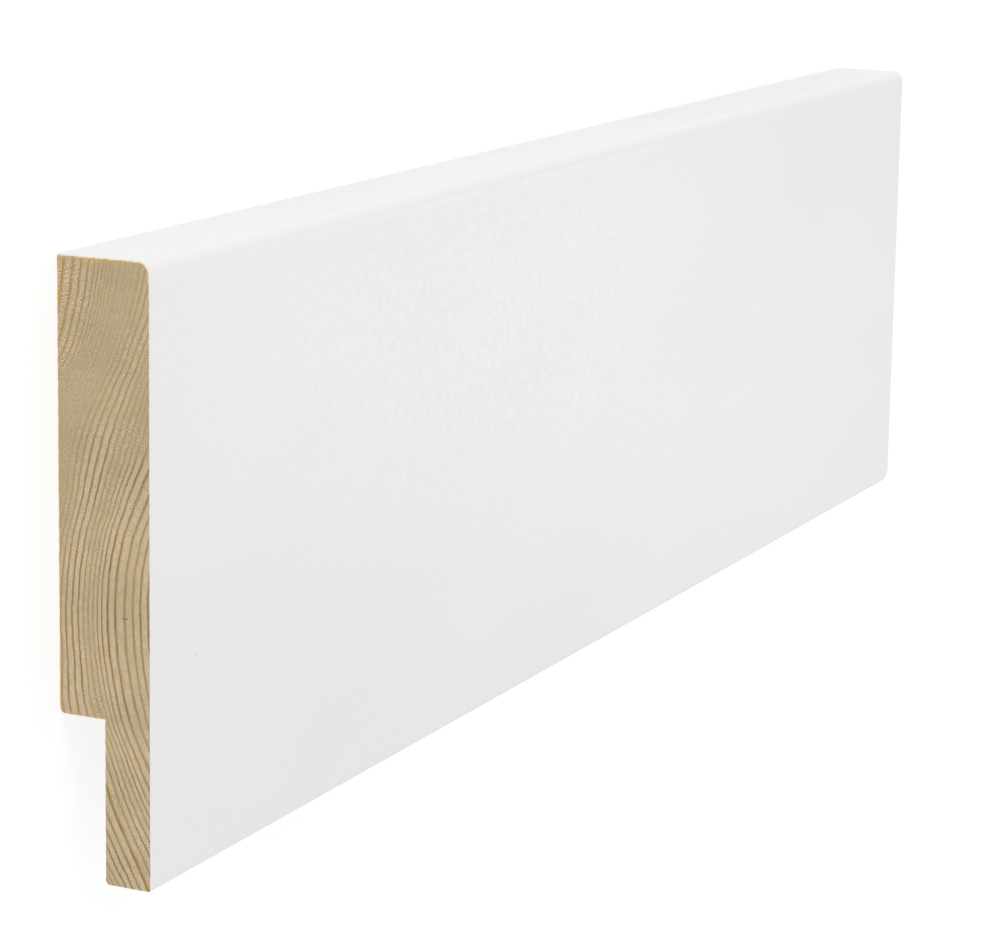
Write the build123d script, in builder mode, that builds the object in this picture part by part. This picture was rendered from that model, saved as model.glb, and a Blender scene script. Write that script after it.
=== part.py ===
from build123d import *
import os

# A painted pine door lining board, a short length of the stock, lying on its back with the painted face up.
# X runs along the board, Y across it with the tongue on the low side, and Z through its thickness.
# The origin is on the floor, under the middle of the board.

# Driving dimensions, in millimetres
length = 400.0
width = 115.0
thickness = 19.0
tongue_thickness = 9.5
rebate_width = 31.0

# Rounding of the long edges, by the corner of the section that each one starts from
face_arris_radius = 2.5
tongue_face_radius = 0.6
tongue_back_radius = 0.9
shoulder_back_radius = 1.0
wall_edge_radius = 0.4

# The one corner of the tongue that is knocked round, seen square to the painted face
knocked_corner_radius = 2.5

# Places worked out from the driving dimensions
half_length = length / 2
half_width = width / 2
shoulder_y = rebate_width - half_width
tongue_back_z = thickness - tongue_thickness


with BuildPart() as lining_board:
    # The section, drawn looking along the board: sketch X is the board's Y, and sketch Y is its Z.
    with BuildSketch(Plane.YZ.offset(-half_length)) as section:
        with BuildLine():
            Polyline(
                (-half_width, tongue_back_z),
                (shoulder_y, tongue_back_z),
                (shoulder_y, 0),
                (half_width, 0),
                (half_width, thickness),
                (-half_width, thickness),
                close=True,
            )
        make_face()
        corners_by_height = section.vertices().group_by(Axis.Y)
        back_corners = corners_by_height[0].sort_by(Axis.X)
        tongue_corners = corners_by_height[1].sort_by(Axis.X)
        face_corners = corners_by_height[-1].sort_by(Axis.X)
        fillet(face_corners[-1], radius=face_arris_radius)
        fillet(face_corners[0], radius=tongue_face_radius)
        fillet(tongue_corners[0], radius=tongue_back_radius)
        fillet(back_corners[0], radius=shoulder_back_radius)
        fillet(back_corners[-1], radius=wall_edge_radius)
    extrude(amount=length)

    # The wood lost from the knocked corner: a square at the corner, less the circle that stays.
    with BuildSketch():
        with Locations((half_length, -half_width)):
            Rectangle(knocked_corner_radius, knocked_corner_radius, align=(Align.MAX, Align.MIN))
        with Locations((half_length - knocked_corner_radius, knocked_corner_radius - half_width)):
            Circle(knocked_corner_radius, mode=Mode.SUBTRACT)
    extrude(amount=thickness, mode=Mode.SUBTRACT)

lining_board.part.label = "lining_board"

os.makedirs("parts", exist_ok=True)
export_step(lining_board.part, "parts/lining_board.step")
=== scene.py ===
import math

import bmesh
import bpy
import numpy as np
from mathutils import Matrix, Vector


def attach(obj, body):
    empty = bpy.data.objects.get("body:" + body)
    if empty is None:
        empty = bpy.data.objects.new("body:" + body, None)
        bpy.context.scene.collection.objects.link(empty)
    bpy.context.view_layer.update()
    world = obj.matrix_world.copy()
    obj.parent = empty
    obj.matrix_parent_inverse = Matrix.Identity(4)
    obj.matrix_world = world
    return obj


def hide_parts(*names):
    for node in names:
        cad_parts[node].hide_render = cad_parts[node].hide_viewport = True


# A short length of painted pine door lining, lying on its back on a pale floor.
# X runs along the board, Y across it and Z through it. A name that ends in _mm is in millimetres, and so
# are the places and sizes in the functions that lay out the mesh. All the rest is in metres.

MM = 0.001

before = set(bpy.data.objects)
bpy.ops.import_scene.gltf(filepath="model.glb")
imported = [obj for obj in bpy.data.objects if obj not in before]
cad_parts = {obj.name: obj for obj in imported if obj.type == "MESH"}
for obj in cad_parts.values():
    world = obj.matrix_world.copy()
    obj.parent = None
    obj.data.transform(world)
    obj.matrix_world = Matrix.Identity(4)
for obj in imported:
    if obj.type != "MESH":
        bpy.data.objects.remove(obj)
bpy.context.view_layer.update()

# Sizes of the board, the same as in the part's source
LENGTH_MM = 400.0
WIDTH_MM = 115.0
THICKNESS_MM = 19.0
TONGUE_MM = 9.5
REBATE_MM = 31.0
FACE_ARRIS_MM = 2.5
TONGUE_FACE_MM = 0.6
TONGUE_BACK_MM = 0.9
SHOULDER_BACK_MM = 1.0
WALL_EDGE_MM = 0.4
KNOCKED_CORNER_MM = 2.5

# Places on the section
HALF_LENGTH_MM = LENGTH_MM / 2
HALF_WIDTH_MM = WIDTH_MM / 2
SHOULDER_Y_MM = REBATE_MM - HALF_WIDTH_MM
TONGUE_BACK_Z_MM = THICKNESS_MM - TONGUE_MM

# The film of paint, the grid of the sawn ends with its closest lines, how deep the saw has worn the soft
# wood, and how near the floor a long face lies when it is the back
FILM_MM = 0.14
GRID_MM = 0.26
CLOSEST_MM = 0.02
SAWN_RELIEF_MM = 0.05
BACK_REACH_MM = 0.02

# Dust nibs in the paint: cells of one nib at most to the metre, and the share of cells that have none
NIB_CELLS = 60
NIB_RADIUS_MM = 0.35
NIB_EDGE_MM = 0.15
NO_NIB_SHARE = 0.8

# How far the growth rings swing towards the face, at heights measured down from the eased edge.
# One line of readings is along the back, and the other is along the face.
RING_HEIGHTS_MM = (0, 8, 16, 24, 34, 44, 52, 60, 67.7, 75.5, 83.2, 91.3, 99.6, 107.8, 115)
SWING_BACK_MM = (15.1, 14.2, 12.3, 7.7, 3.7, 2.7, 0.9, -0.2, -0.5, 0.5, 2.0, 4.25, 4.85, 6.8, 10.4)
SWING_FACE_MM = (17.8, 16.0, 13.1, 10.3, 7.8, 3.8, 0.8, -0.4, -0.3, 0.6, 2.45, 6.15, 9.85, 13.1, 15.5)
SWING_LOW_MM = -2.0
SWING_SPAN_MM = 21.0

# Behind the tongue, by the shoulder, the rings stay upright: the swing is this much less at the back.
UPRIGHT_MM = 2.3
UPRIGHT_FROM_MM = 69.5
UPRIGHT_TO_MM = 85.0

# The rings drift away along the board, by this much for each millimetre of it, and wobble a little all over.
DRIFT_MM = 0.034
DRIFT_MIDDLE = 0.42
WOBBLE_MM = 0.34

# Where each year's dark latewood lies, and how strong it is there, measured across the rings
RINGS_MM = (-21.8, -20.1, -18.5, -17.0, -15.4, -13.9, -12.2, -10.7, -9.4, -8.3, -7.5, -6.8, -6.2, -5.6,
            -4.9, -3.9, -2.9, -2.2, -1.4, -0.3, 0.7, 1.8, 3.1, 4.4, 5.5, 6.5, 7.5, 8.4, 9.3, 10.5,
            12.1, 14.1, 15.8, 17.3, 18.9, 20.6, 22.4, 24.1, 25.6)
STRENGTHS = ((-21.8, 1.0), (-13.9, 1.0), (-12.2, 1.2), (-10.7, 1.05), (-9.4, 1.25), (-8.3, 0.75),
             (-7.5, 1.0), (-6.2, 0.6), (-4.9, 0.4), (-1.4, 0.34), (-0.3, 0.54), (0.7, 0.7), (1.8, 0.96),
             (3.1, 0.93), (4.4, 1.06), (5.5, 0.56), (6.5, 0.46), (7.5, 0.54), (8.4, 0.84), (9.3, 0.85),
             (10.5, 1.0), (12.1, 0.86), (14.1, 0.74), (15.8, 0.72), (17.3, 0.9), (25.6, 0.95))
RINGS_LOW_MM = -21.8
RINGS_SPAN_MM = 47.4

# The tongue's rings have strengths of their own, which take over between two heights.
TONGUE_STRENGTHS = ((-21.8, 0.8), (-1.4, 0.5), (-0.3, 0.88), (0.7, 1.08), (1.8, 0.78), (3.1, 1.05),
                    (4.4, 0.56), (5.5, 0.95), (6.5, 0.76), (7.5, 0.74), (8.4, 1.05), (9.3, 0.72),
                    (10.5, 0.75), (12.1, 0.65), (25.6, 0.8))
TONGUE_FROM_MM = 82.0
TONGUE_TO_MM = 94.0

# Within a year the latewood fades out by a share of the year, a larger one in the broad rings, and sets in
# again by the year's end.
FADE_FROM = 0.03
FADE_TO = 0.32
BROAD_FADE_TO = 0.46
BROAD_ACROSS_MM = (-11.5, -8.5)
RISE_FROM = 0.82
RISE_TO = 0.97

# The rings are fainter by the eased edge, down to a height that is not the same at the back as by the face.
FAINT_SHARE = 0.66
FAINT_TO_MM = 18.0
FULL_BACK_MM = 62.0
FULL_FACE_MM = 42.0
FULL_ACROSS_MM = (4.5, 8.5)

# They are almost gone in a calm patch at the back, and in a short pale stretch by the face.
CALM_SHARE = 0.7
CALM_DOWN_MM = (14.0, 26.0)
CALM_ACROSS_MM = (-2.5, -0.5)
PALE_SHARE = 0.6
PALE_AT_MM = 29.0
PALE_OFF_MM = (3.0, 9.0)
PALE_ACROSS_MM = (7.2, 8.4)

# One resinous ring in the tongue is broader and more golden than the others.
GOLDEN_RING_MM = 3.3
GOLDEN_OFF_MM = (0.05, 0.48)
GOLDEN_Y_MM = (-42.5, -37.0)

# A golden line along the back arris and the shoulder, full over the first width and gone at the second
LINE_OFF_MM = (0.15, 0.75)
LINE_SHARE = 0.8

# A resin fleck in the near end: the place of its middle, in Y and Z, and half its size
FLECK_PLACE_MM = (-7.3, 13.8)
FLECK_HALF_MM = (0.12, 0.75)

# Colours as they look on screen, from 0 to 255. Where there are two, the surface varies between them.
PLAIN_WOOD = ((161, 146, 113), (168, 153, 121))
LIGHT_WOOD = ((176, 160, 130), (186, 170, 142))
PINK_WOOD = (190, 164, 136)
OLIVE_WOOD = (170, 157, 115)
MOTTLE = (161, 144, 110)
RAY = (156, 138, 104)
RAISED_FIBRE = (224, 207, 180)
PIT = (112, 92, 60)
LATEWOOD = ((110, 84, 30), (136, 98, 36))
WARM_LATEWOOD = (144, 102, 36)
GOLDEN_LATEWOOD = (150, 110, 56)
SOAKED_WOOD = (186, 152, 108)
SOAKED_FRINGE = (208, 163, 106)
GOLDEN_LINE = (194, 147, 86)
TORN_PAINT = (224, 216, 202)
RESIN = (92, 66, 36)
PLANED_WOOD = ((214, 184, 138), (224, 198, 156))
PLANED_FIBRE = (196, 162, 112)
PLANED_STRAND = (232, 208, 170)
PLANED_LATEWOOD = (172, 122, 66)
PORE = (140, 100, 58)
WHITE_PAINT = ((220, 220, 220), (222, 222, 222))
BRUSH_MARK = (214, 214, 214)
# A painted highlight along the arris, a little lighter and warmer than the paint
PAINTED_ARRIS_HIGHLIGHT = (227, 225, 223)
CUT_PAINT = (228, 216, 196)
NIB = (190, 188, 182)
FLOOR_GREY = ((160, 160, 160), (164, 164, 164))

# The camera of the photograph, in the part's own frame
CAMERA_PLACE = (-0.71349, 0.15110, 0.33006)
CAMERA_RIGHT = (0.43080, 0.01652, 0.90230)
CAMERA_DOWN = (-0.16049, -0.98249, 0.09461)
CAMERA_LENS = 124.97
CAMERA_SHIFT_Y = -0.10


# Node helpers

def linear(colour):
    """A colour given as it looks on screen, from 0 to 255, turned into light."""
    channels = []
    for value in colour:
        value /= 255
        channels.append(value / 12.92 if value <= 0.04045 else ((value + 0.055) / 1.055) ** 2.4)
    return (*channels, 1.0)


class Graph:
    """Adds nodes to one material's tree, where an input is either a number or another node's output."""

    def __init__(self, name):
        self.material = bpy.data.materials.new(name)
        self.material.use_nodes = True
        self.nodes = self.material.node_tree.nodes
        self.links = self.material.node_tree.links
        self.nodes.clear()
        output = self.nodes.new("ShaderNodeOutputMaterial")
        self.shader = self.nodes.new("ShaderNodeBsdfPrincipled")
        self.links.new(self.shader.outputs["BSDF"], output.inputs["Surface"])
        self.place = self.nodes.new("ShaderNodeTexCoord").outputs["Object"]
        split = self.nodes.new("ShaderNodeSeparateXYZ")
        self.links.new(self.scaled(1 / MM, 1 / MM, 1 / MM), split.inputs[0])
        self.x_mm, self.y_mm, self.z_mm = split.outputs

    def feed(self, socket, value):
        if isinstance(value, bpy.types.NodeSocket):
            self.links.new(value, socket)
        else:
            socket.default_value = value

    def set(self, name, value):
        self.feed(self.shader.inputs[name], value)

    def math(self, operation, first, second=0.0, third=0.0, clamp=False):
        node = self.nodes.new("ShaderNodeMath")
        node.operation = operation
        node.use_clamp = clamp
        for socket, value in zip(node.inputs, (first, second, third)):
            self.feed(socket, value)
        return node.outputs[0]

    def plus(self, first, second):
        return self.math("ADD", first, second)

    def minus(self, first, second):
        return self.math("SUBTRACT", first, second)

    def times(self, first, *others):
        for other in others:
            first = self.math("MULTIPLY", first, other)
        return first

    def scaled(self, x, y, z):
        """The place in the board with each axis multiplied by its own number."""
        node = self.nodes.new("ShaderNodeVectorMath")
        node.operation = "MULTIPLY"
        self.feed(node.inputs[0], self.place)
        node.inputs[1].default_value = (x, y, z)
        return node.outputs[0]

    def joined(self, x, y, z):
        node = self.nodes.new("ShaderNodeCombineXYZ")
        for socket, value in zip(node.inputs, (x, y, z)):
            self.feed(socket, value)
        return node.outputs[0]

    def noise(self, vector, scale, detail=2.0, roughness=0.5):
        node = self.nodes.new("ShaderNodeTexNoise")
        self.feed(node.inputs["Vector"], vector)
        node.inputs["Scale"].default_value = scale
        node.inputs["Detail"].default_value = detail
        node.inputs["Roughness"].default_value = roughness
        return node.outputs["Fac"]

    def spread(self, value, low, high, new_low=0.0, new_high=1.0):
        """Maps low..high smoothly to new_low..new_high and holds it there beyond them."""
        node = self.nodes.new("ShaderNodeMapRange")
        node.interpolation_type = "SMOOTHSTEP"
        names = ("Value", "From Min", "From Max", "To Min", "To Max")
        for name, bound in zip(names, (value, low, high, new_low, new_high)):
            self.feed(node.inputs[name], bound)
        return node.outputs[0]

    def curve(self, value, points, smooth):
        """A curve through points, both ways from 0 to 1. Returns the output and the node."""
        node = self.nodes.new("ShaderNodeFloatCurve")
        line = node.mapping.curves[0]
        for number, (across, up) in enumerate(points):
            point = line.points[number] if number < 2 else line.points.new(across, up)
            point.location = (across, up)
        for point in line.points:
            point.handle_type = "AUTO" if smooth else "VECTOR"
        node.mapping.update()
        self.feed(node.inputs["Value"], value)
        return node.outputs[0], node

    def blend(self, amount, first, second):
        """A colour between first and second, each a node's output or a colour from 0 to 255."""
        node = self.nodes.new("ShaderNodeMix")
        node.data_type = "RGBA"
        self.feed(node.inputs["Factor"], amount)
        for socket, colour in ((node.inputs[6], first), (node.inputs[7], second)):
            self.feed(socket, colour if isinstance(colour, bpy.types.NodeSocket) else linear(colour))
        return node.outputs[2]

    def bump(self, height, distance_mm, strength, under=None):
        node = self.nodes.new("ShaderNodeBump")
        node.inputs["Strength"].default_value = strength
        node.inputs["Distance"].default_value = distance_mm * MM
        self.feed(node.inputs["Height"], height)
        if under is not None:
            self.links.new(under, node.inputs["Normal"])
        return node.outputs[0]


# Growth rings, as a solid that runs through the whole board

def swing_points(readings_mm):
    return [(height / WIDTH_MM, (swing - SWING_LOW_MM) / SWING_SPAN_MM)
            for height, swing in zip(RING_HEIGHTS_MM, readings_mm)]


def along_rings(place_mm):
    return (place_mm - RINGS_LOW_MM) / RINGS_SPAN_MM


ring_points = [(along_rings(place), number / (len(RINGS_MM) - 1)) for number, place in enumerate(RINGS_MM)]
strength_points = [(along_rings(place), strength) for place, strength in STRENGTHS]
tongue_points = [(along_rings(place), strength) for place, strength in TONGUE_STRENGTHS]


def ring_strength(g, down_mm, across_mm, strength, tongue_strength):
    """How strong the rings are at a height and a place across them."""
    full_from = g.spread(across_mm, *FULL_ACROSS_MM, FULL_BACK_MM, FULL_FACE_MM)
    faint = g.spread(down_mm, FAINT_TO_MM, full_from, FAINT_SHARE, 1.0)
    calm = g.times(g.spread(down_mm, *CALM_DOWN_MM, 0.0, CALM_SHARE),
                   g.spread(across_mm, *CALM_ACROSS_MM, 1.0, 0.0))
    off_pale = g.math("ABSOLUTE", g.minus(down_mm, PALE_AT_MM))
    pale = g.times(g.spread(off_pale, *PALE_OFF_MM, PALE_SHARE, 0.0),
                   g.spread(across_mm, *PALE_ACROSS_MM, 0.0, 1.0))
    strength = g.times(strength, g.times(faint, g.minus(1.0, calm)), g.minus(1.0, pale))
    in_tongue = g.spread(down_mm, TONGUE_FROM_MM, TONGUE_TO_MM)
    strength = g.plus(strength, g.times(in_tongue, g.minus(tongue_strength, strength)))
    patchy = g.spread(g.noise(g.scaled(0.2, 1, 1), 190.0), 0.3, 0.7, 0.8, 1.15)
    return g.times(strength, patchy)


def ring_nodes(g):
    """Adds the ring pattern.

    Returns the darkness, the rings' strength there, the place across them in mm, and the curves' nodes.
    """
    down_mm = g.minus(HALF_WIDTH_MM, g.y_mm)
    height = g.times(down_mm, 1 / WIDTH_MM)
    back, back_node = g.curve(height, swing_points(SWING_BACK_MM), True)
    face, face_node = g.curve(height, swing_points(SWING_FACE_MM), True)
    share = g.times(g.z_mm, 1 / THICKNESS_MM)
    swing = g.plus(back, g.times(share, g.minus(face, back)))
    swing_mm = g.math("MULTIPLY_ADD", swing, SWING_SPAN_MM, SWING_LOW_MM)
    behind = g.math("MULTIPLY_ADD", g.z_mm, -1 / TONGUE_BACK_Z_MM, 1.0, clamp=True)
    upright_mm = g.spread(down_mm, UPRIGHT_FROM_MM, UPRIGHT_TO_MM, 0.0, UPRIGHT_MM)
    depth_mm = g.plus(g.z_mm, g.times(behind, upright_mm))

    from_near_mm = g.plus(g.x_mm, HALF_LENGTH_MM)
    drift = g.minus(g.noise(g.scaled(1, 0.6, 0.6), 9.0, 1.0), DRIFT_MIDDLE)
    drift_mm = g.times(drift, from_near_mm, DRIFT_MM)
    wobble_mm = g.times(g.minus(g.noise(g.scaled(0.15, 1, 1), 420.0), 0.5), WOBBLE_MM)
    across_mm = g.plus(g.minus(depth_mm, swing_mm), g.plus(drift_mm, wobble_mm))

    position = g.math("MULTIPLY_ADD", across_mm, 1 / RINGS_SPAN_MM, -RINGS_LOW_MM / RINGS_SPAN_MM)
    count, count_node = g.curve(position, ring_points, False)
    strength, strength_node = g.curve(position, strength_points, False)
    tongue_strength, tongue_node = g.curve(position, tongue_points, False)
    strength = ring_strength(g, down_mm, across_mm, strength, tongue_strength)

    # Each year fades softly out of its dark latewood, and ends sharply at the next.
    year = g.math("FRACT", g.times(count, len(RINGS_MM) - 1))
    fade_to = g.spread(across_mm, *BROAD_ACROSS_MM, BROAD_FADE_TO, FADE_TO)
    fading = g.spread(year, FADE_FROM, fade_to, 1.0, 0.0)
    rising = g.spread(year, RISE_FROM, RISE_TO)
    dark = g.times(g.math("MAXIMUM", fading, rising), strength)
    return dark, strength, across_mm, (back_node, face_node, count_node, strength_node, tongue_node)


def to_painted(g):
    """How far a place is from the painted face and edge, in mm, going round the arris, up to its radius."""
    short = []
    for start, axis in ((HALF_WIDTH_MM, g.y_mm), (THICKNESS_MM, g.z_mm)):
        short.append(g.math("MAXIMUM", g.minus(FACE_ARRIS_MM, g.minus(start, axis)), 0.0))
    squares = g.plus(g.times(short[0], short[0]), g.times(short[1], short[1]))
    return g.minus(FACE_ARRIS_MM, g.math("SQRT", squares))


def pine_end():
    """Sawn end grain. Returns the material and the nodes of its rings' curves."""
    g = Graph("pine_end_grain")
    dark, strength, across_mm, curves = ring_nodes(g)

    def drawn_out(across, down, detail, roughness=0.5):
        """Noise stretched along or across the rings, by how often it changes each way in a millimetre."""
        place = g.joined(g.times(across_mm, across), g.times(g.y_mm, down), 0.0)
        return g.noise(place, 1.0, detail, roughness)

    torn = drawn_out(5.0, 3.8, 1.0, 0.6)
    hue = drawn_out(1.6, 0.48, 1.0)
    rays = drawn_out(0.35, 5.2, 2.0)
    patches = g.spread(g.noise(g.place, 70.0), 0.35, 0.65)
    mottled = g.noise(g.place, 900.0, 3.0, 0.6)
    ragged = g.noise(g.place, 1400.0, 2.0, 0.6)

    # The wood is light between strong rings, and darker and more olive where the rings are faint.
    plain = g.blend(patches, *PLAIN_WOOD)
    light = g.blend(patches, *LIGHT_WOOD)
    early = g.blend(g.spread(strength, 0.32, 0.95), plain, light)
    lively = g.spread(strength, 0.1, 0.6, 0.4, 1.0)
    early = g.blend(g.times(g.spread(hue, 0.5, 0.66, 0.0, 0.55), lively), early, PINK_WOOD)
    early = g.blend(g.times(g.spread(hue, 0.34, 0.5, 0.55, 0.0), lively), early, OLIVE_WOOD)
    early = g.blend(g.spread(mottled, 0.42, 0.72, 0.0, 0.45), early, MOTTLE)
    early = g.blend(g.spread(rays, 0.56, 0.8, 0.0, 0.3), early, RAY)

    # The saw has torn it most behind the eased edge, where the fibres stand up pale beside small pits.
    rough = g.times(g.spread(across_mm, -10.5, -7.5, 0.8, 0.36),
                    g.spread(g.noise(g.place, 110.0, 1.0), 0.4, 0.62, 0.4, 1.15),
                    g.spread(strength, 0.1, 0.6, 0.8, 1.0))
    early = g.blend(g.times(g.spread(torn, 0.54, 0.62), rough), early, RAISED_FIBRE)
    early = g.blend(g.times(g.spread(torn, 0.36, 0.44, 0.9, 0.0), rough), early, PIT)

    # The latewood is warmest behind the eased edge, and warm by the painted face.
    warm = g.math("MAXIMUM",
                  g.spread(across_mm, -10.5, -8.0, 1.0, 0.0),
                  g.spread(across_mm, 12.0, 19.0, 0.0, 0.6))
    late = g.blend(warm, g.blend(patches, *LATEWOOD), WARM_LATEWOOD)
    broken = g.spread(torn, 0.3, 0.7, 1.0, 0.74)
    wood = g.blend(g.times(dark, broken), early, late)
    off_golden_mm = g.math("ABSOLUTE", g.minus(across_mm, GOLDEN_RING_MM))
    golden = g.times(g.spread(off_golden_mm, *GOLDEN_OFF_MM, 0.66, 0.0),
                     g.spread(g.y_mm, *GOLDEN_Y_MM, 1.0, 0.0),
                     g.spread(g.noise(g.place, 330.0), 0.34, 0.62, 0.45, 1.0),
                     broken)
    wood = g.blend(golden, wood, GOLDEN_LATEWOOD)

    # Warmer beside the paint, where the finish has soaked in, most of all along the eased edge
    from_paint_mm = to_painted(g)
    upper = g.times(g.spread(g.y_mm, 45.0, 56.5, 0.06, 1.0), g.spread(g.z_mm, 13.5, 17.2, 1.0, 0.3))
    soaked = g.spread(from_paint_mm, 0.2, 1.9, 0.45, 0.0)
    wood = g.blend(g.times(soaked, upper), wood, SOAKED_WOOD)
    fringe = g.times(g.spread(from_paint_mm, 0.25, 0.75, 1.0, 0.0),
                     g.spread(dark, 0.1, 0.8, 0.3, 0.95),
                     g.spread(ragged, 0.35, 0.6, 0.5, 1.0))
    wood = g.blend(g.times(fringe, upper), wood, SOAKED_FRINGE)

    # A thin golden line along the back arris, the shoulder and the tongue's back, broken up by the rings
    in_block = g.math("GREATER_THAN", g.y_mm, SHOULDER_Y_MM)
    from_back_mm = g.math("MULTIPLY_ADD", g.minus(1.0, in_block), -TONGUE_BACK_Z_MM, g.z_mm)
    from_shoulder_mm = g.minus(g.y_mm, SHOULDER_Y_MM)
    back_line = g.times(g.spread(from_back_mm, *LINE_OFF_MM, LINE_SHARE, 0.0),
                        g.spread(g.y_mm, 20.0, 45.0, 0.55, 1.0))
    shoulder_line = g.times(g.spread(from_shoulder_mm, *LINE_OFF_MM, LINE_SHARE, 0.0),
                            in_block,
                            g.math("LESS_THAN", g.z_mm, TONGUE_BACK_Z_MM))
    line = g.times(g.math("MAXIMUM", back_line, shoulder_line),
                   g.spread(dark, 0.0, 0.6, 0.4, 1.0),
                   g.spread(mottled, 0.3, 0.6, 0.4, 1.0))
    wood = g.blend(line, wood, GOLDEN_LINE)

    # The paint's edge is ragged where the saw went through it, more so along the eased edge.
    reach_mm = g.math("MULTIPLY_ADD", ragged, g.spread(g.y_mm, 50.0, 56.0, 0.5, 0.95), -0.16)
    lip = g.spread(g.minus(reach_mm, from_paint_mm), -0.04, 0.06, 0.0, 0.85)
    wood = g.blend(lip, wood, TORN_PAINT)

    # A short dark resin fleck
    fleck_y = g.times(g.minus(g.y_mm, FLECK_PLACE_MM[0]), 1 / FLECK_HALF_MM[0])
    fleck_z = g.times(g.minus(g.z_mm, FLECK_PLACE_MM[1]), 1 / FLECK_HALF_MM[1])
    off_fleck = g.plus(g.times(fleck_y, fleck_y), g.times(fleck_z, fleck_z))
    fleck = g.times(g.spread(off_fleck, 0.3, 1.3, 0.8, 0.0), g.math("LESS_THAN", g.x_mm, 0.0))
    wood = g.blend(fleck, wood, RESIN)
    g.set("Base Color", wood)
    g.set("Roughness", g.spread(dark, 0.0, 1.0, 0.86, 0.68))
    g.set("Specular IOR Level", 0.3)

    saw_marks = g.noise(g.scaled(1, 1500, 60), 1.0)
    raised = g.bump(dark, 0.05, 0.7)
    raised = g.bump(torn, 0.03, 0.6, raised)
    raised = g.bump(mottled, 0.08, 0.7, raised)
    g.set("Normal", g.bump(saw_marks, 0.05, 0.5, raised))
    return g.material, curves


def pine_back():
    """Planed long grain: the same rings, cut lengthwise, with fine fibres along the board."""
    g = Graph("pine_planed")
    dark = ring_nodes(g)[0]
    fibres = g.noise(g.scaled(26, 1500, 1500), 1.0, 3.0, 0.6)
    strands = g.noise(g.scaled(7, 320, 320), 1.0)
    pores = g.noise(g.scaled(110, 2400, 2400), 1.0, 1.0)
    patches = g.noise(g.scaled(1, 3, 3), 14.0)
    early = g.blend(g.spread(patches, 0.35, 0.65), *PLANED_WOOD)
    early = g.blend(g.spread(fibres, 0.5, 0.8, 0.0, 0.5), early, PLANED_FIBRE)
    early = g.blend(g.spread(strands, 0.5, 0.75, 0.0, 0.3), early, PLANED_STRAND)
    wood = g.blend(g.times(dark, 0.75), early, PLANED_LATEWOOD)
    wood = g.blend(g.spread(pores, 0.66, 0.74, 0.0, 0.5), wood, PORE)
    g.set("Base Color", wood)
    g.set("Roughness", g.spread(dark, 0.0, 1.0, 0.62, 0.48))
    g.set("Specular IOR Level", 0.35)

    planer_marks = g.nodes.new("ShaderNodeTexWave")
    planer_marks.bands_direction = "X"
    planer_marks.inputs["Scale"].default_value = 60.0
    planer_marks.inputs["Distortion"].default_value = 0.6
    g.links.new(g.place, planer_marks.inputs["Vector"])
    raised = g.bump(fibres, 0.05, 0.6)
    raised = g.bump(planer_marks.outputs["Fac"], 0.02, 0.3, raised)
    g.set("Normal", g.bump(dark, 0.04, 0.5, raised))
    return g.material


def satin_paint():
    """White satin paint, with a painted highlight over the arris, a little lighter and warmer, and thin where
    it was cut through.
    """
    g = Graph("satin_white_paint")
    cloud = g.noise(g.scaled(1, 2, 2), 11.0)
    brushed = g.noise(g.scaled(22, 600, 600), 1.0)
    peel = g.noise(g.place, 520.0)
    paint = g.blend(g.spread(cloud, 0.3, 0.7), *WHITE_PAINT)
    paint = g.blend(g.spread(brushed, 0.45, 0.8, 0.0, 0.05), paint, BRUSH_MARK)

    # The lighter band over the arris is a painted highlight, and it reaches further onto the face than onto
    # the edge.
    to_edge_mm = g.minus(HALF_WIDTH_MM, g.y_mm)
    to_face_mm = g.minus(THICKNESS_MM, g.z_mm)
    to_arris_mm = g.math("MAXIMUM", g.times(to_edge_mm, 0.62), to_face_mm)
    paint = g.blend(g.spread(to_arris_mm, 0.6, 2.9, 1.0, 0.0), paint, PAINTED_ARRIS_HIGHLIGHT)
    to_end_mm = g.minus(HALF_LENGTH_MM, g.math("ABSOLUTE", g.x_mm))
    cut = g.times(g.spread(to_end_mm, 0.0, 0.7, 1.0, 0.0),
                  g.spread(g.noise(g.place, 700.0), 0.35, 0.65, 0.15, 0.6))
    paint = g.blend(cut, paint, CUT_PAINT)

    # A few nibs of dust under the paint
    cells = g.nodes.new("ShaderNodeTexVoronoi")
    cells.voronoi_dimensions = "2D"
    cells.inputs["Scale"].default_value = NIB_CELLS
    g.links.new(g.place, cells.inputs["Vector"])
    chosen = g.nodes.new("ShaderNodeSeparateColor")
    g.links.new(cells.outputs["Color"], chosen.inputs[0])
    radius = g.times(chosen.outputs["Green"], NIB_RADIUS_MM * MM * NIB_CELLS)
    inside = g.minus(radius, cells.outputs["Distance"])
    nib = g.times(g.spread(inside, 0.0, NIB_EDGE_MM * MM * NIB_CELLS),
                  g.math("GREATER_THAN", chosen.outputs["Red"], NO_NIB_SHARE))
    paint = g.blend(g.times(nib, 0.45), paint, NIB)
    g.set("Base Color", paint)
    g.set("Roughness", g.spread(peel, 0.3, 0.7, 0.28, 0.37))
    g.set("Specular IOR Level", 0.45)

    raised = g.bump(peel, 0.02, 0.3)
    raised = g.bump(brushed, 0.01, 0.25, raised)
    g.set("Normal", g.bump(nib, 0.08, 0.6, raised))
    return g.material


end_material, ring_curves = pine_end()
back_material = pine_back()
paint_material = satin_paint()
PAINT, END, BACK = range(3)


# The board's mesh: a fine grid over the section, carried along the board

def corner_inset(distance, radius):
    """How far a rounded corner has drawn the outline in, at a distance from the edge."""
    if distance >= radius:
        return 0.0
    return radius - math.sqrt(radius ** 2 - (radius - distance) ** 2)


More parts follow.
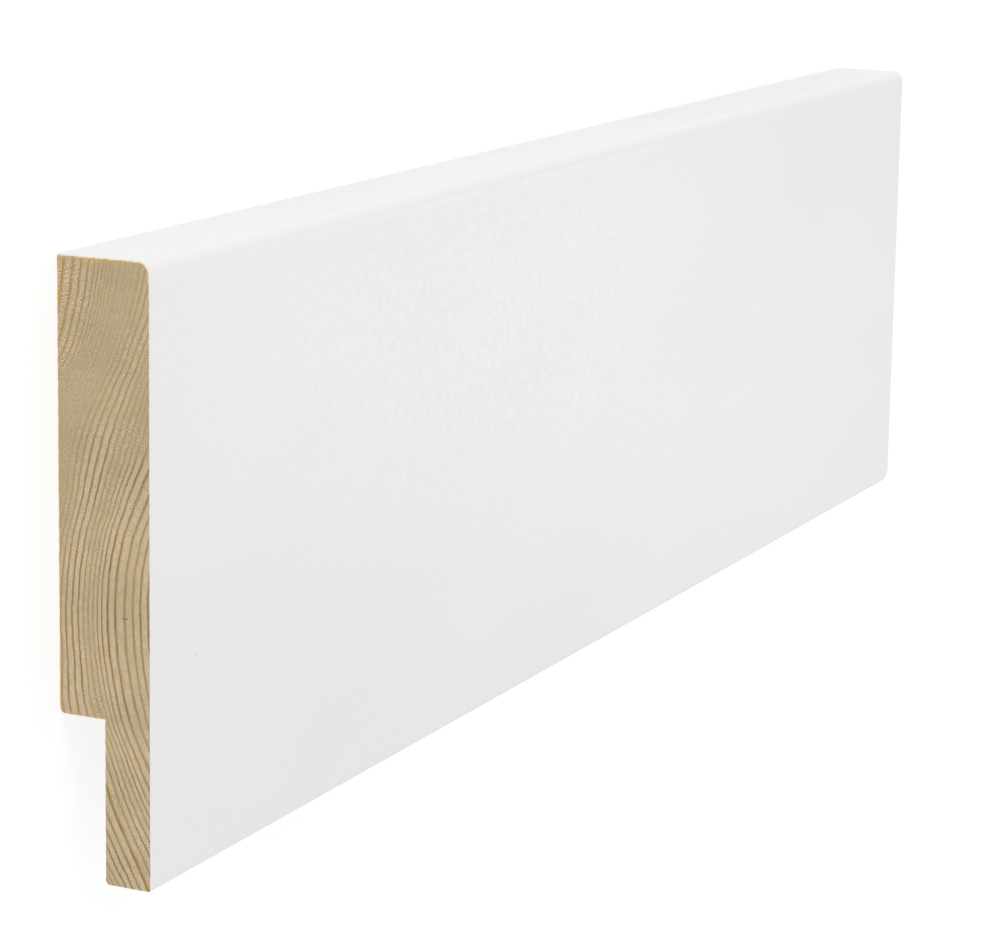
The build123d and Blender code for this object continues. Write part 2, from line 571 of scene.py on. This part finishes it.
def stations(low, high, fine_ends):
    """Places from low to high: the film's thickness in, close ones for a rounded corner, then even steps."""
    places = {low, high, low + FILM_MM, high - FILM_MM}
    for end, radius, sign in ((low, fine_ends[0], 1), (high, fine_ends[1], -1)):
        turns = 9 if radius > 1 else 4
        for turn in range(turns + 1):
            places.add(end + sign * (radius - radius * math.cos(math.radians(90 * turn / turns))))
    first = low + max(fine_ends[0], FILM_MM) + GRID_MM / 2
    last = high - max(fine_ends[1], FILM_MM) - GRID_MM / 2
    count = max(1, round((last - first) / GRID_MM))
    places.update(first + (last - first) * number / count for number in range(count + 1))
    ordered = sorted(places)
    kept = [ordered[0]]
    for place in ordered[1:]:
        if place - kept[-1] > CLOSEST_MM:
            kept.append(place)
    kept[-1] = high
    return kept


def section_grid():
    """Rows of (y, z) points. Tongue rows have only the columns in front of the rebate."""
    front = stations(TONGUE_BACK_Z_MM, THICKNESS_MM, (TONGUE_BACK_MM, 0.3))
    rear = stations(0.0, TONGUE_BACK_Z_MM, (0.3, 0.0))
    tongue_rows = stations(-HALF_WIDTH_MM, SHOULDER_Y_MM, (TONGUE_BACK_MM, 0.0))
    block_rows = stations(SHOULDER_Y_MM, HALF_WIDTH_MM, (SHOULDER_BACK_MM, FACE_ARRIS_MM))
    whole = rear[:-1] + front
    rows = []
    for y in tongue_rows:
        from_low = y + HALF_WIDTH_MM
        low = TONGUE_BACK_Z_MM + corner_inset(from_low, TONGUE_BACK_MM)
        high = THICKNESS_MM - corner_inset(from_low, TONGUE_FACE_MM)
        rows.append((y, low, high, front))
    for y in block_rows:
        from_high = HALF_WIDTH_MM - y
        low = corner_inset(y - SHOULDER_Y_MM, SHOULDER_BACK_MM) + corner_inset(from_high, WALL_EDGE_MM)
        high = THICKNESS_MM - corner_inset(from_high, FACE_ARRIS_MM)
        rows.append((y, low, high, whole))
    grid = []
    for y, low, high, columns in rows:
        start, stop = columns[0], columns[-1]
        grid.append([(y, low + (high - low) * (z - start) / (stop - start)) for z in columns])
    return grid, len(tongue_rows)


def read_curve(node, places):
    mapping = node.mapping
    mapping.initialize()
    return np.array([mapping.evaluate(mapping.curves[0], float(place)) for place in places])


def ring_darkness(y, z):
    """The same ring pattern as the material's, without its noise, for the relief of the sawn ends."""
    table = np.linspace(0.0, 1.0, 1025)
    back, face, count, strengths, tongue_strengths = [read_curve(node, table) for node in ring_curves]
    height = np.clip(0.5 - y / WIDTH_MM, 0, 1)
    down = height * WIDTH_MM
    at_back = np.interp(height, table, back)
    at_face = np.interp(height, table, face)
    swing = (at_back + z / THICKNESS_MM * (at_face - at_back)) * SWING_SPAN_MM + SWING_LOW_MM
    low = np.clip((down - UPRIGHT_FROM_MM) / (UPRIGHT_TO_MM - UPRIGHT_FROM_MM), 0, 1)
    upright = UPRIGHT_MM * low * low * (3 - 2 * low) * np.clip(1 - z / TONGUE_BACK_Z_MM, 0, 1)
    position = np.clip((z + upright - swing - RINGS_LOW_MM) / RINGS_SPAN_MM, 0, 1)
    year = np.interp(position, table, count) * (len(RINGS_MM) - 1) % 1.0
    strength = np.interp(position, table, strengths)
    in_tongue = np.clip((down - TONGUE_FROM_MM) / (TONGUE_TO_MM - TONGUE_FROM_MM), 0, 1)
    strength += in_tongue * (np.interp(position, table, tongue_strengths) - strength)
    fading = np.clip((FADE_TO - year) / (FADE_TO - FADE_FROM), 0, 1)
    rising = np.clip((year - RISE_FROM) / (RISE_TO - RISE_FROM), 0, 1)
    return np.minimum(np.maximum(fading, rising) * strength, 1.0)


grid, tongue_count = section_grid()
chance = np.random.default_rng(7)

# Places along the board, by their distance from an end, close by the cut and round the knocked corner
CUT_STEPS = (0.0, 0.1, 0.3)
LONG_STEPS = (5.0, 12.0, 30.0, 70.0, 120.0)
knocked_steps = [KNOCKED_CORNER_MM * (1 - math.sin(math.radians(90 * turn / 8))) for turn in range(7)]
near_steps = (*CUT_STEPS, 0.8, 2.0, *LONG_STEPS)
far_steps = (*CUT_STEPS, *knocked_steps, *LONG_STEPS)
along = sorted({-HALF_LENGTH_MM + step for step in near_steps}
               | {HALF_LENGTH_MM - step for step in far_steps} | {0.0})

# How far from the tongue's edge the rows give way to the knocked corner
SQUEEZE_MM = 12.0

# Wear of the sawn arrises: its share of the full depth at each distance from the cut, how far into the
# section it reaches, and how deep it goes
WEAR_SHARES = {0.0: 1.0, 0.1: 0.7, 0.3: 0.4, 0.8: 0.12}
WEAR_REACH_MM = 1.6
BACK_WEAR_MM = 0.06
PAINTED_WEAR_MM = 0.04
EDGE_WEAR_MM = 0.06
wear_waves = [(chance.uniform(0.3, 3.2), chance.uniform(0, 6.3), chance.uniform(0.4, 1.0))
              for _ in range(7)]


def unevenness(place):
    """A wavering number from 0 to 1 along an edge."""
    total = sum(size * math.sin(often * place + start) for often, start, size in wear_waves)
    return min(1.0, max(0.0, 0.35 + 0.28 * total))


def worn(y, z, share):
    """Draws the points near the section's outline in, unevenly, as the saw and handling leave them.

    The numbers added to the places make the wear of each side unlike the others'.
    """
    def pull(distance, depth, place):
        fade = max(0.0, 1 - distance / WEAR_REACH_MM)
        return share * depth * unevenness(place) * fade
    back_z = TONGUE_BACK_Z_MM if y < SHOULDER_Y_MM else 0.0
    z_new = z + pull(z - back_z, BACK_WEAR_MM, y)
    z_new -= pull(THICKNESS_MM - z, PAINTED_WEAR_MM, y + 40)
    y_new = y - pull(HALF_WIDTH_MM - y, EDGE_WEAR_MM, z + 80)
    y_new += pull(y + HALF_WIDTH_MM, PAINTED_WEAR_MM, z + 120)
    return y_new, z_new


def knocked(x, y):
    """Draws the tongue's edge in round the knocked corner, easing out over the rows beside it."""
    into = x - (HALF_LENGTH_MM - KNOCKED_CORNER_MM)
    if into <= 0 or y > SQUEEZE_MM - HALF_WIDTH_MM:
        return y
    inset = KNOCKED_CORNER_MM - math.sqrt(max(0.0, KNOCKED_CORNER_MM ** 2 - into ** 2))
    return -HALF_WIDTH_MM + inset + (y + HALF_WIDTH_MM) * (SQUEEZE_MM - inset) / SQUEEZE_MM


def outline_keys():
    """The grid's outer points in order round the section, as (row, column), from the tongue's face corner."""
    last_row = len(grid) - 1
    shoulder_columns = len(grid[tongue_count]) - len(grid[0])
    keys = [(row, len(grid[row]) - 1) for row in range(len(grid)) if row != tongue_count]
    keys += [(last_row, column) for column in range(len(grid[last_row]) - 2, -1, -1)]
    keys += [(row, 0) for row in range(last_row - 1, tongue_count - 1, -1)]
    keys += [(tongue_count, column) for column in range(1, shoulder_columns + 1)]
    keys += [(row, 0) for row in range(tongue_count - 2, -1, -1)]
    keys += [(0, column) for column in range(1, len(grid[0]) - 1)]
    return keys, shoulder_columns


def build_board():
    mesh = bmesh.new()
    keys, shoulder_columns = outline_keys()

    def sawn_end(x, outward):
        """One end's vertices, with the soft earlywood worn in from the cut."""
        made = {}
        for row, points in enumerate(grid):
            for column, (y, z) in enumerate(points):
                y_worn, z_worn = worn(y, z, 1.0)
                made[row, column] = [x, knocked(x, y_worn), z_worn]
        names = list(made)
        places = np.array([made[name] for name in names])
        dark = ring_darkness(places[:, 1], places[:, 2])
        rough = chance.random(len(names))
        sunk = SAWN_RELIEF_MM * (1 - dark) * 0.7 + SAWN_RELIEF_MM * 0.3 * rough
        places[:, 0] -= outward * sunk
        vertices = {name: mesh.verts.new(Vector(place) * MM) for name, place in zip(names, places)}
        # The tongue's top row and the block's first row are one line of points.
        for column in range(len(grid[tongue_count - 1])):
            shared = (tongue_count, column + shoulder_columns)
            mesh.verts.remove(vertices[tongue_count - 1, column])
            vertices[tongue_count - 1, column] = vertices[shared]
        return vertices

    def cap(vertices, flip):
        for row in range(len(grid) - 1):
            if row == tongue_count - 1:
                continue
            for column in range(len(grid[row]) - 1):
                corners = [(row, column), (row + 1, column), (row + 1, column + 1), (row, column + 1)]
                if flip:
                    corners.reverse()
                face = mesh.faces.new([vertices[corner] for corner in corners])
                y, z = face.calc_center_median().yz
                on_face = z > (THICKNESS_MM - FILM_MM) * MM
                on_edge = y > (HALF_WIDTH_MM - FILM_MM) * MM
                face.material_index = PAINT if on_face or on_edge else END

    ends = {}
    for x, outward, flip in ((along[0], -1, True), (along[-1], 1, False)):
        ends[x] = sawn_end(x, outward)
        cap(ends[x], flip)

    loops = []
    for x in along:
        if x in ends:
            loops.append([ends[x][key] for key in keys])
            continue
        loop = []
        share = WEAR_SHARES.get(round(HALF_LENGTH_MM - abs(x), 1), 0.0)
        for row, column in keys:
            y, z = worn(*grid[row][column], share)
            loop.append(mesh.verts.new(Vector((x, knocked(x, y), z)) * MM))
        loops.append(loop)
    for before, after in zip(loops, loops[1:]):
        for number in range(len(keys)):
            following = (number + 1) % len(keys)
            face = mesh.faces.new([before[number], after[number], after[following], before[following]])
            z = face.calc_center_median().z
            face.material_index = BACK if z < BACK_REACH_MM * MM else PAINT
    mesh.normal_update()
    return mesh


SHARP_ANGLE = math.radians(38)

board_mesh = build_board()
bmesh.ops.recalc_face_normals(board_mesh, faces=board_mesh.faces)
for face in board_mesh.faces:
    face.smooth = True
for edge in board_mesh.edges:
    edge.smooth = edge.calc_face_angle(0.0) < SHARP_ANGLE
data = bpy.data.meshes.new("dressed_board")
board_mesh.to_mesh(data)
board_mesh.free()
board = bpy.data.objects.new("dressed_board", data)
bpy.context.scene.collection.objects.link(board)
for material in (paint_material, end_material, back_material):
    data.materials.append(material)
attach(board, "root")
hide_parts("lining_board")


# Floor, light and camera

FLOOR_REACH = 30.0
FLOOR_BELOW = -0.0002
FLOOR_SHINE = 0.66
SKY_STRENGTH = 0.94
WHITE = (1.0, 1.0, 1.0)
KEY_COLOUR = (1.0, 0.98, 0.985)


def pale_floor():
    g = Graph("pale_floor")
    g.set("Base Color", g.blend(g.noise(g.place, 3.0), *FLOOR_GREY))
    g.set("Emission Color", (*WHITE, 1.0))
    g.set("Emission Strength", FLOOR_SHINE)
    g.set("Roughness", 0.9)
    g.set("Specular IOR Level", 0.1)
    floor_mesh = bpy.data.meshes.new("floor")
    sides = ((-1, -1), (1, -1), (1, 1), (-1, 1))
    corners = [(x * FLOOR_REACH, y * FLOOR_REACH, FLOOR_BELOW) for x, y in sides]
    floor_mesh.from_pydata(corners, [], [(0, 1, 2, 3)])
    floor_mesh.materials.append(g.material)
    floor = bpy.data.objects.new("floor", floor_mesh)
    bpy.context.scene.collection.objects.link(floor)


def soft_light(name, place, aim, size, watts, colour=WHITE):
    lamp = bpy.data.lights.new(name, "AREA")
    lamp.shape = "DISK"
    lamp.size = size
    lamp.energy = watts
    lamp.color = colour
    light = bpy.data.objects.new(name, lamp)
    light.location = place
    light.rotation_euler = (Vector(aim) - Vector(place)).to_track_quat("-Z", "Y").to_euler()
    bpy.context.scene.collection.objects.link(light)
    return light


pale_floor()
world = bpy.data.worlds.new("studio")
world.use_nodes = True
world.node_tree.nodes["Background"].inputs["Color"].default_value = (*WHITE, 1.0)
world.node_tree.nodes["Background"].inputs["Strength"].default_value = SKY_STRENGTH
bpy.context.scene.world = world

# The glow gives the face its soft sheen and nothing more, and the far light only lights the far end's wood.
soft_light("key", (-0.75, 1.65, 1.0), (0.0, 0.0, 0.0), size=1.2, watts=9.3, colour=KEY_COLOUR)
soft_light("fill", (-1.6, -0.5, 0.25), (-0.1, 0.0, 0.0), size=1.0, watts=4.6)
glow = soft_light("glow", (0.94, -0.16, 0.52), (0.0, 0.0, 0.019), size=0.3, watts=0.27)
glow.visible_diffuse = False
far_light = soft_light("far_end", (1.3, -0.5, 0.14), (0.2, 0.0, 0.01), size=0.24, watts=1.5)
far_light.visible_glossy = False

lens = bpy.data.cameras.new("camera")
lens.lens = CAMERA_LENS
lens.sensor_width = 36.0
lens.sensor_fit = "HORIZONTAL"
lens.shift_y = CAMERA_SHIFT_Y
lens.clip_start = 0.01
lens.clip_end = 100.0
camera = bpy.data.objects.new("camera", lens)
right = Vector(CAMERA_RIGHT).normalized()
up = -Vector(CAMERA_DOWN).normalized()
turn = Matrix((right, up, right.cross(up))).transposed()
camera.matrix_world = Matrix.Translation(CAMERA_PLACE) @ turn.to_4x4()
bpy.context.scene.collection.objects.link(camera)
bpy.context.scene.camera = camera
bpy.context.scene.view_settings.view_transform = "Standard"
